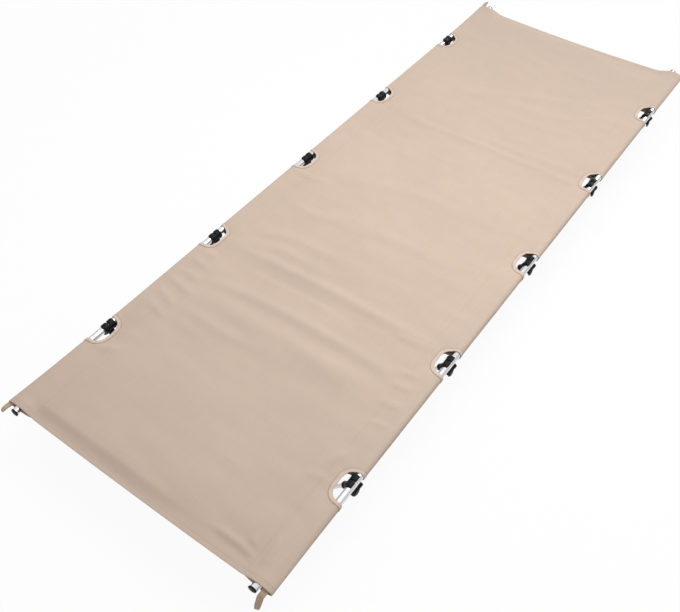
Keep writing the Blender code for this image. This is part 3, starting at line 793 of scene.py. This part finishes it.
def cutout_edge(angle, past):
    """Place at an angle round a cutout in the flat cloth, a distance past its edge."""
    turn = unit(signed_power(np.stack([np.cos(angle), np.sin(angle)], -1), CUTOUT_SQUARENESS / 2))
    across = np.where(turn[..., 0] < 0, *CUTOUT_REACHES)
    size = np.stack([across, np.full(across.shape, CUTOUT_HALF)], -1)
    way = unit(signed_power(turn, 2 - 2 / CUTOUT_SQUARENESS) / size)
    place = size * signed_power(turn, 2 / CUTOUT_SQUARENESS) + way * np.expand_dims(past, -1)
    return U_FOLD + place[..., 0], place[..., 1]


def binding_mesh():
    """Tapes folded over the edges of all ten cutouts."""
    wide = BINDING_WIDTH * 1000
    section = np.array([
        (wide, -0.1), (wide, 0.4), (wide - 0.4, 0.58), (wide * 0.6, 0.66), (2, 0.7), (0.6, 0.66),
        (-0.4, 0.4), (-0.7, -0.4), (-0.4, -1.2), (0.6, -1.46), (2, -1.5), (wide * 0.6, -1.46),
        (wide - 0.4, -1.38), (wide, -1.2), (wide, -0.7), (0.6, -0.66), (0.6, -0.14),
    ]) / 1000
    turns = np.linspace(0, 2 * pi, 108, endpoint=False)
    points, faces, flat = [], [], []
    for _, side, _ in SIDES:
        for y in CUTOUT_YS:
            u, v = cutout_edge(turns[:, None], section[:, 0])
            u, v = side * u, y + v
            rings = bed_surface(u, v) + bed_normal(u, v) * section[:, 1:]
            new_points, new_faces = loft_data(rings, True, len(points))
            points += new_points
            faces += [face[::side] for face in new_faces]
            flat += [(a + b, CUTOUT_HALF * turn) for turn in turns for a, b in section]
    mesh = closed_mesh("cutout_bindings", points, faces)
    set_flat(mesh, np.array(flat))
    return mesh


def stitch_line(us, vs):
    """Starts and ends of the stitches along a line of places, evenly spaced on the cloth."""
    us, vs = np.broadcast_arrays(us, vs)
    steps = np.linalg.norm(np.diff(bed_surface(us, vs), axis=0), axis=-1)
    run = np.concatenate([[0], np.cumsum(steps)])
    starts = np.arange(STITCH_PITCH / 2, run[-1] - STITCH_LENGTH, STITCH_PITCH)
    return [
        np.stack([np.interp(starts + offset, run, line) for line in (us, vs)], -1)
        for offset in (0, STITCH_LENGTH)
    ]


def stitching_mesh(on_tapes):
    """Every visible stitch: round the cutouts on their tapes, or along both seams and the hems."""
    along_bed = np.linspace(-CLOTH_HALF + 0.004, CLOTH_HALF - 0.004, 400)
    over_bed = np.linspace(-U_LOW, U_LOW, 300)
    under_bed = np.linspace(-SEAM_X + 0.008, SEAM_X - 0.008, 200)
    hem_v, hem_under = CLOTH_HALF - HEM_WIDTH + 0.0025, -2 * HEM_TURN - CLOTH_SHELL
    u, v = cutout_edge(np.linspace(0, 2 * pi, 240), BINDING_WIDTH - 0.0016)
    rows = []
    for side in (-1, 1):
        if on_tapes:
            rows += [(side * u, y + v, lift) for y in CUTOUT_YS for lift in TAPE_THREAD_LIFTS]
        else:
            rows += [(side * seam_u, along_bed, 0) for seam_u in (SEAM_X - 0.0006, U_BACK + 0.0016)]
            rows += [(over_bed, side * hem_v, 0), (under_bed, side * hem_v, hem_under)]
    points, faces = [], []
    turns = [2 * pi * k / 5 for k in range(5)]
    for us, vs, lift in rows:
        starts, ends = stitch_line(us, vs)
        keep = cutout_places(*((starts + ends) / 2).T)[0] > 1.06
        starts, ends = starts[keep], ends[keep]
        normal = bed_normal(*((starts + ends) / 2).T)
        first, last = bed_surface(*starts.T), bed_surface(*ends.T)
        across = np.cross(unit(last - first), normal)
        rings = []
        for share, rise, girth in STITCH_PROFILE:
            height = lift + (rise if lift >= 0 else -rise)
            centre = first + (last - first) * share + normal * height
            ways = (cos(turn) * across + sin(turn) * normal for turn in turns)
            rings.append([centre + THREAD_RADIUS * girth * way for way in ways])
        for stitch in np.moveaxis(rings, 2, 0):
            new_points, new_faces = loft_data(stitch, False, len(points))
            points += new_points
            faces += new_faces
    return closed_mesh("stitches", points, faces)


def make_bed():
    cloth = piece(
        "bed_cloth_sheet", cloth_mesh(), woven("bed_fabric", CLOTH_COLOUR, 0.00055, 5.0),
        "bed", "bed_cloth",
    )
    tape = woven("binding_tape", BINDING_COLOUR, 0.0008, 30.0, TAPE_EDGE_SHADE_LINES)
    bindings = piece("cutout_bindings", binding_mesh(), tape, "bed")
    thread = thread_material("thread", THREAD_COLOUR)
    stitching = piece("stitching", stitching_mesh(False), thread, "bed")
    thread = thread_material("tape_thread", TAPE_THREAD_COLOUR)
    tape_stitching = piece("tape_stitching", stitching_mesh(True), thread, "bed")


# Rails

def rail_ring(side, radius, y):
    """Ring round a rail; past the last legs the cloth draws the rail's ends inward."""
    share = max(0.0, abs(y) - MOUTH_FROM) / (RAIL_HALF - MOUTH_FROM)
    return disc(radius, ROUND, Vector((RAIL_X - TIP_PULLS[side] * share ** 2, y, RAIL_Z)))


def rail_section(side, index):
    """Tube with broken edges and a swaged spigot at its far end, unless it is the last."""
    pitch = 2 * RAIL_HALF / RAIL_SECTIONS
    start = -RAIL_HALF + index * pitch + (GAP if index else 0)
    end = -RAIL_HALF + (index + 1) * pitch
    bore = RAIL_RADIUS - RAIL_WALL
    spigot = bore - GAP
    edge = 0.00025
    stations = [y for y in spread((start, end), 0.024)[1:-1] if start + 0.01 < y < end - 0.01]
    if not any(abs(y) > MOUTH_FROM for y in stations):
        stations = []
    outer = [(RAIL_RADIUS - edge, start), (RAIL_RADIUS, start + edge)]
    outer += [(RAIL_RADIUS, y) for y in stations]
    inner = [(bore, y) for y in reversed(stations)] + [(bore, start)]
    if index < RAIL_SECTIONS - 1:
        for share in (0.0, 0.15, 0.35, 0.5, 0.65, 0.85, 1.0):
            radius = RAIL_RADIUS - (RAIL_RADIUS - spigot) * (1 - cos(pi * share)) / 2
            outer.append((radius, end - NECK_LENGTH * (1 - share)))
        tip = end + SPIGOT_LENGTH
        thin = spigot - RAIL_WALL
        outer += [(spigot, tip - edge), (spigot - edge, tip)]
        outer += [(thin, tip), (thin, end - NECK_LENGTH), (bore, end - 2 * NECK_LENGTH)]
    else:
        outer += [(RAIL_RADIUS, end - edge), (RAIL_RADIUS - edge, end), (bore, end)]
    return loft(f"rail_{index + 1}", [rail_ring(side, r, y) for r, y in outer + inner], True)


def end_cap(side, sign):
    """Plug with a domed head and a rounded rim."""
    plug = RAIL_RADIUS - RAIL_WALL - GAP
    head = RAIL_RADIUS + CAP_RIM
    seat = RAIL_HALF + GAP
    profile = [(plug * 0.92, RAIL_HALF - CAP_PLUG), (plug, RAIL_HALF - CAP_PLUG + 0.001)]
    profile += [(plug, seat), (head - 0.0003, seat), (head, seat + 0.0003)]
    crown = CAP_HEAD * 0.45
    for turn in arc(0, pi / 2, 7):
        profile.append((
            head - 0.0022 * (1 - cos(turn)), seat + crown + (CAP_HEAD - crown) * sin(turn)
        ))
    profile += [(head * 0.45, seat + CAP_HEAD), (head * 0.38, seat + CAP_HEAD - 0.0006)]
    return loft("end_cap", [rail_ring(side, radius, sign * y) for radius, y in profile])


# Legs

def fillet(corner, towards, away, radius, count):
    """Points of a round bend at a corner between two straight runs."""
    turn = acos(max(-1.0, min(1.0, -towards.dot(away))))
    reach = radius / tan(turn / 2)
    centre = corner + (towards + away).normalized() * (radius / sin(turn / 2))
    first, last = corner + towards * reach - centre, corner + away * reach - centre
    swept = pi - turn
    return [
        centre + (sin((1 - t) * swept) * first + sin(t * swept) * last) / sin(swept)
        for t in arc(0, 1, count)
    ]


def bow_path():
    """Centreline of the right half of a bow, from its clip's socket to the bed's middle."""
    axle = Vector((RAIL_X, 0, RAIL_Z))
    start = axle + STRUT_DIRECTION * STRUT_START
    arch_way = Vector((-cos(ARCH_RISE_ANGLE), 0, sin(ARCH_RISE_ANGLE)))
    back = -STRUT_DIRECTION
    half_turn = acos(back.dot(arch_way)) / 2
    clearance = BEND_RADIUS / sin(half_turn) - BEND_RADIUS
    dip = clearance * (back + arch_way).normalized().z
    corner_z = FOOT_SOLE + BOW_RADIUS - dip
    corner = axle + STRUT_DIRECTION * ((RAIL_Z - corner_z) / cos(STRUT_LEAN))
    bend = fillet(corner, back, arch_way, BEND_RADIUS, BEND_POINTS)
    ferrule = PLUG_DEPTH + 2 * FERRULE_WALL
    arch_radius = (bend[-1].x - ferrule) / sin(ARCH_RISE_ANGLE)
    crown = bend[-1].z + arch_radius * (1 - cos(ARCH_RISE_ANGLE))
    hub = Vector((ferrule, 0, crown - arch_radius))
    angles = arc(ARCH_RISE_ANGLE, 0, ARCH_POINTS)[1:]
    return [start, *bend, *(hub + around(arch_radius, pi / 2 - angle) for angle in angles)]


def bow_half(plain):
    """Half bow: plain at the middle, or with the ferrule that takes the other half's plain end."""
    path = bow_path()
    crown = path[-1]
    edge = 0.0003
    path.insert(1, path[0] + STRUT_DIRECTION * edge)
    radii = [BOW_RADIUS - edge] + [BOW_RADIUS] * (len(path) - 1)
    bore = BOW_RADIUS + GAP
    rim = bore + FERRULE_WALL
    if plain:
        end = ((-PLUG_DEPTH + GAP + edge, BOW_RADIUS), (-PLUG_DEPTH + GAP, BOW_RADIUS - edge))
    else:
        end = (
            (crown.x - FERRULE_WALL / 2, rim - edge), (crown.x - FERRULE_WALL, rim), (edge, rim),
            (0, rim - edge), (0, bore), (PLUG_DEPTH + GAP, bore),
        )
    path += [Vector((x, 0, crown.z)) for x, _ in end]
    radii += [radius for _, radius in end]
    return sweep("bow_half", path, radii, turned_in=0 if plain else 1)


def rounded_rectangle(length, width, corner, centre, count=7):
    """Level ring with round corners about a centre."""
    points = []
    for sx, sy, start in ((1, 1, 0), (-1, 1, 90), (-1, -1, 180), (1, -1, 270)):
        for angle in arc(radians(start), radians(start + 90), count):
            points.append(centre + Vector((
                sx * (length / 2 - corner) + corner * cos(angle),
                sy * (width / 2 - corner) + corner * sin(angle),
                0,
            )))
    return points


def foot():
    """Moulded foot: rounded sole with a grooved tread, narrowing to a ribbed neck round the bow."""
    path = bow_path()
    bend = path[1 + BEND_POINTS // 2]
    levels = (
        (0.0, 0.94, 0.94, -0.002), (0.1, 1.0, 1.0, -0.002), (0.28, 0.9, 0.84, -0.001),
        (0.6, 0.72, 0.62, 0.003), (0.92, 0.56, 0.54, 0.008), (1.0, 0.46, 0.44, 0.009),
    )
    rings = []
    for height, length, width, shift in smoothed(levels, 21):
        rib = 0.02 * max(0.0, sin((height - 0.5) * pi * 9)) if height > 0.5 else 0.0
        centre = Vector((bend.x + shift, 0, FOOT_HEIGHT * height))
        rings.append(rounded_rectangle(
            FOOT_LENGTH * (length + rib), FOOT_WIDTH * (width + rib), FOOT_CORNER * width, centre
        ))
    reach = [path[0] + STRUT_DIRECTION * 0.02, *path[1:24]]
    cut = [sweep("foot_bore", reach, [BOW_RADIUS + GAP] * len(reach), 24)]
    for k in range(-2, 3):
        x = bend.x - 0.002 + k * TREAD_PITCH
        outline = [Vector((x + a * TREAD_WIDTH / 2, 0, b * TREAD_DEPTH)) for a, b in SQUARE]
        cut.append(prism("tread", outline, 0.06))
    return moulded("foot", loft("foot", rings), (), cut, voxel=0.00045, keep=0.22, soften=3)


# Rail clips and levers; these are drawn about the rail's axis

def finger():
    """Crowned finger that wraps over the rail from inboard, square and thinner at its tip."""
    stations = (
        (SADDLE_FROM + radians(12), 0.9, 0.9, 0.25), (SADDLE_FROM - radians(2), 1.0, 1.0, 0),
        (SADDLE_FROM - radians(24), 1.0, 1.0, 0), (FINGER_TIP + radians(12), 1.0, 0.94, 0),
        (FINGER_TIP + radians(3), 0.98, 0.72, 0), (FINGER_TIP, 0.92, 0.46, 0),
    )
    rings = []
    for angle, wide, tall, lift in smoothed(stations, 18):
        inner = CLIP_BORE + CLIP_WALL * max(0.0, lift)
        crown = CLIP_BORE + CLIP_WALL * tall
        round_off = CLIP_WALL * 0.28 * tall
        half = FINGER_WIDTH / 2 * wide
        section = [(crown - round_off * turn ** 4, half * turn) for turn in arc(-1, 1, 9)]
        section = [(inner, -half), *section, (inner, half)]
        rings.append([around(radius, angle) + Vector((0, y, 0)) for radius, y in section])
    return loft("finger", rings)


def rail_clip():
    """Clip body: saddle under the rail, two fingers over it, strut socket, ribs and pivot ears."""
    skin = CLIP_BORE + CLIP_WALL
    saddle = prism("saddle", (
        stretch(skin, SADDLE_FROM, SADDLE_UNDER, 16)
        + stretch(HUB_RADIUS + EAR_RIM, radians(210), radians(400), 20, PIVOT)
        + stretch(CLIP_BORE, SADDLE_TO, SADDLE_FROM, 28)
    ), CLIP_WIDTH)
    end = STRUT_START + SOCKET_DEPTH
    socket_path = (
        (CLIP_BORE + 2 * GAP, 1.12), (STRUT_START + 0.004, 1.06), (STRUT_START + 0.01, 1.0),
        (end - 0.0046, 1.0), (end - 0.0042, 1.09), (end - 0.001, 1.09), (end - 0.0002, 1.0),
        (end, 0.9),
    )
    strut = BOW_RADIUS + GAP
    centres = [STRUT_DIRECTION * d for d, _ in socket_path]
    socket = sweep("socket", centres, [(strut + SOCKET_WALL) * s for _, s in socket_path])
    rib = stretch(CLIP_BORE + CLIP_WALL * 0.5, SADDLE_UNDER, SADDLE_FROM, 12)
    rib += [
        around(skin + RIB_RISE * sin(pi * (k + 1) / 13) ** 0.5, a)
        for k, a in enumerate(arc(SADDLE_FROM, SADDLE_UNDER, 12))
    ]
    finger_y = (CLIP_WIDTH - FINGER_WIDTH) / 2
    added = [shifted(finger(), (0, y, 0)) for y in (finger_y, -finger_y)] + [socket]
    added += [shifted(prism("rib", rib, RIB_WIDTH), (0, y, 0)) for y in (-RIB_PLACE, RIB_PLACE)]
    strut_ends = [STRUT_DIRECTION * d for d in (STRUT_START - GAP, end + 0.01)]
    cut = (
        prism("lever_pocket", disc(CAM_RADIUS + GAP, 40, PIVOT), HUB_WIDTH + 2 * RUNNING_GAP),
        prism("pivot_hole", disc(PIVOT_RADIUS + RUNNING_GAP, 24, PIVOT), CLIP_WIDTH * 2),
        sweep("strut_hole", strut_ends, [strut] * 2),
    )
    return moulded("rail_clip", saddle, added, cut, voxel=0.0003, keep=0.16, soften=4)


def tongue():
    """Leaf-shaped tongue, drawn from the pivot, with a dished face and grip ribs near its tip."""
    stations = (
        (0.05, 0.44, 1.0), (0.31, 0.5, 1.05), (0.38, 0.94, 1.1), (0.5, 1.0, 1.05),
        (0.66, 0.94, 1.0), (0.81, 0.78, 0.9), (0.94, 0.5, 0.78), (1.0, 0.22, 0.64),
    )
    rings = []
    for reach, wide, thick in smoothed(stations, 34):
        angle = TONGUE_FROM + TONGUE_SWEEP * reach
        across = around(1, angle + pi / 2) * (TONGUE_THICKNESS / 2 * thick)
        half = TONGUE_WIDTH / 2 * wide
        ribs = sin((reach - 0.62) / 0.3 * pi * 4) if 0.62 < reach < 0.92 else 0.0
        section = []
        for turn in arc(-1, 1, 9):
            rise = 0.22 * max(0.0, ribs) * (1 - turn ** 4)
            section.append((half * turn, 1.0 - 0.5 * turn * turn + rise))
        section += [(half * turn, -1.0 + 0.4 * turn * turn) for turn in arc(1, -1, 9)]
        centre = around(TONGUE_LENGTH * reach, angle)
        rings.append([centre + Vector((0, y, 0)) + across * s for y, s in section])
    return loft("tongue", rings)


def lever():
    """Cam lever about its own pivot: hub with a cam lobe, two trunnions and the tongue."""
    lobe = pi + PIVOT_ANGLE
    outline = []
    for turn in (lobe + 2 * pi * k / 48 for k in range(48)):
        swell = max(0.0, cos(turn - lobe)) ** 4
        outline.append(around(HUB_RADIUS + (CAM_RADIUS - HUB_RADIUS) * swell, turn))
    hub = prism("lever_hub", outline, HUB_WIDTH)
    added = (prism("trunnions", disc(PIVOT_RADIUS, 24), CLIP_WIDTH - 0.0011), tongue())
    return moulded("lever", hub, added, (), voxel=0.0003, keep=0.2, soften=2)


# Webbing

def pull_loop(seat, places, out, sign):
    """Webbing doubled back on itself: out along one ply, round the tip and back along the other."""
    track = [
        Vector((out * (seat + x / 1000), sign * (CLOTH_HALF + y / 1000), RAIL_Z + z / 1000))
        for x, y, z in places
    ]
    path = [Vector(row) for row in smoothed(track, 34)]
    last = len(path) - 1
    plies = []
    for i, point in enumerate(path):
        along = (path[min(i + 1, last)] - path[max(i - 1, 0)]).normalized()
        twist = WEBBING_TWIST * out * sign * (i / last)
        across = Matrix.Rotation(twist, 3, along) @ Vector((1, 0, 0))
        across = (across - along * across.dot(along)).normalized()
        plies.append((point, across, along.cross(across)))
    apart = WEBBING_PLY / 2 + 0.00012
    line = [(point + face * apart, across, face) for point, across, face in plies[:-1]]
    point, across, face = plies[-1]
    for turn in arc(pi / 2, -pi / 2, 9):
        way = face * sin(turn) + along * cos(turn)
        line.append((point + way * apart, across, way))
    line += [(point - face * apart, across, -face) for point, across, face in plies[-2::-1]]
    half, thick, edge = WEBBING_WIDTH / 2, WEBBING_PLY / 2, 0.0003
    section = [(-half, edge - thick), (edge - half, -thick)]
    section += [(-a, b) for a, b in reversed(section)]
    section += [(-a, -b) for a, b in section]
    rings, flat, run = [], [], 0.0
    for i, (point, across, face) in enumerate(line):
        run += (point - line[i - 1][0]).length if i else 0.0
        draw = 1 - 0.45 * exp(-((i - len(line) / 2) / 7) ** 2)
        rings.append([point + across * a * draw + face * b for a, b in section])
        flat += [(a, run) for a, _ in section]
    mesh = loft("pull_loop", rings)
    set_flat(mesh, np.array(flat))
    return mesh


def make_rails():
    alloy = aluminium_material("rail_aluminium", (0.72, 0.72, 0.73), 0.17, 0.05)
    nylon = plastic_material("cap_nylon", (0.006, 0.006, 0.007), 0.42, 0.00003, 2600)
    webbing = webbing_material("webbing", WEBBING_COLOUR)
    for side, out, turn in SIDES:
        for index in range(RAIL_SECTIONS):
            tag = f"{side}_{index + 1 if out > 0 else RAIL_SECTIONS - index}"
            tube = rail_section(side, index)
            piece(f"rail_tube_{tag}", tube, alloy, "bed", f"rail_{tag}", turn=turn)
        for end, sign in (("near", -1), ("far", 1)):
            tag = f"{end}_{side}"
            cap = end_cap(side, sign * out)
            piece(f"rail_cap_{tag}", cap, nylon, "bed", f"end_cap_{tag}", turn=turn)
            places = LOOP_ROOT + LOOP_RUNS[tag]
            loop = pull_loop(LOOP_SEATS[side], places, out, sign)
            piece(f"webbing_loop_{tag}", loop, webbing, "bed", f"pull_loop_{tag}")


def make_legs():
    alloy = aluminium_material("bow_aluminium", (0.66, 0.66, 0.67), 0.28, 0.06)
    nylon = plastic_material("black_nylon", (0.005, 0.005, 0.006), 0.38, 0.00003, 2600)
    rubber = plastic_material("foot_rubber", (0.024, 0.024, 0.025), 0.72, 0.00006, 1500)
    bows = {"left": bow_half(True), "right": bow_half(False)}
    shoe, clip, tab = foot(), rail_clip(), lever()
    for index, y in enumerate(LEG_YS):
        leg = f"leg_{index + 1}"
        for side, out, turn in SIDES:
            tag = f"{index + 1}_{side}"
            base = Vector((0, y, 0))
            axle = Vector((out * RAIL_X, y, RAIL_Z))
            pivot = axle + Vector((out * PIVOT.x, 0, PIVOT.z))
            for name, mesh, material, body, slot, cad, place in (
                ("bow_rod", bows[side], alloy, leg, "bow_aluminium", "bow", base),
                ("foot_shoe", shoe, rubber, leg, "foot_rubber", "foot", base),
                ("clip_body", clip, nylon, leg, "black_nylon", "rail_clip", axle),
                ("clip_lever", tab, nylon, f"lever_{tag}", "black_nylon", "lever", pivot),
            ):
                piece(f"{name}_{tag}", mesh, material, body, f"{cad}_{tag}", place, turn)


# Studio

def seen_directly(near):
    """1 for rays from the camera, in reflections and through glass."""
    path = node(near, "LightPath").outputs
    total = math_node("ADD", path["Is Camera Ray"], path["Is Glossy Ray"])
    return math_node("MINIMUM", math_node("ADD", total, path["Is Transmission Ray"]), 1.0)


def make_floor():
    corners = [(x * FLOOR_HALF, y * FLOOR_HALF, -GAP) for x, y in SQUARE]
    mesh = mesh_from("floor", corners, [(0, 1, 2, 3)])
    material, shader = make_material("floor", FLOOR_GREY, 0.9, Specular_IOR_Level=0.0)
    glow = node(shader, "Emission", {"Color": (1, 1, 1, 1), "Strength": FLOOR_GLOW})
    share = math_node("MULTIPLY", seen_directly(shader), FLOOR_GLOW_SHARE)
    mixed = node(shader, "MixShader", {0: share, 1: shader.outputs[0], 2: glow.outputs[0]})
    feed(material.node_tree.nodes["Material Output"], "Surface", mixed.outputs[0])
    mesh.materials.append(material)
    placed("floor", mesh)


def make_world():
    """White where it is seen directly, dimmer as light, and darkest low down in reflections."""
    world = bpy.data.worlds.new("studio")
    bpy.context.scene.world = world
    world.use_nodes = True
    background = world.node_tree.nodes["Background"]
    background.inputs["Color"].default_value = (1, 1, 1, 1)
    level = mapped(seen_directly(background), 0, 1, WORLD_LEVEL, 1)
    way = node(background, "TexCoord").outputs["Generated"]
    height = node(background, "SeparateXYZ", {0: way}).outputs["Z"]
    mirrored = node(background, "LightPath").outputs["Is Glossy Ray"]
    dimmed = math_node("MULTIPLY", mapped(height, 0, 0.5, HORIZON_DIMMING, 0), mirrored)
    feed(background, "Strength", math_node("SUBTRACT", level, dimmed))


def make_lamp(name, place, target, size, power):
    lamp = bpy.data.lights.new(name, "AREA")
    lamp.shape = "RECTANGLE"
    lamp.size, lamp.size_y = size
    lamp.energy = power
    obj = placed(name, lamp)
    obj.location = place
    obj.rotation_euler = (Vector(place) - Vector(target)).to_track_quat("Z", "Y").to_euler()


def make_camera():
    data = bpy.data.cameras.new("camera")
    data.lens = CAMERA_LENS
    data.sensor_width = 36.0
    data.sensor_fit = "HORIZONTAL"
    data.clip_start = 0.02
    camera = placed("camera", data)
    turn = Matrix.Rotation(CAMERA_YAW, 4, "Z") @ Matrix.Rotation(pi / 2 - CAMERA_DOWN, 4, "X")
    turn = turn @ Matrix.Rotation(CAMERA_ROLL, 4, "Z")
    camera.matrix_world = Matrix.Translation(CAMERA_PLACE) @ turn
    bpy.context.scene.camera = camera


make_camera()
make_bed()
make_rails()
make_legs()
make_floor()
make_world()
for lamp in LAMPS:
    make_lamp(*lamp)
bpy.context.scene.view_settings.view_transform = "Standard"
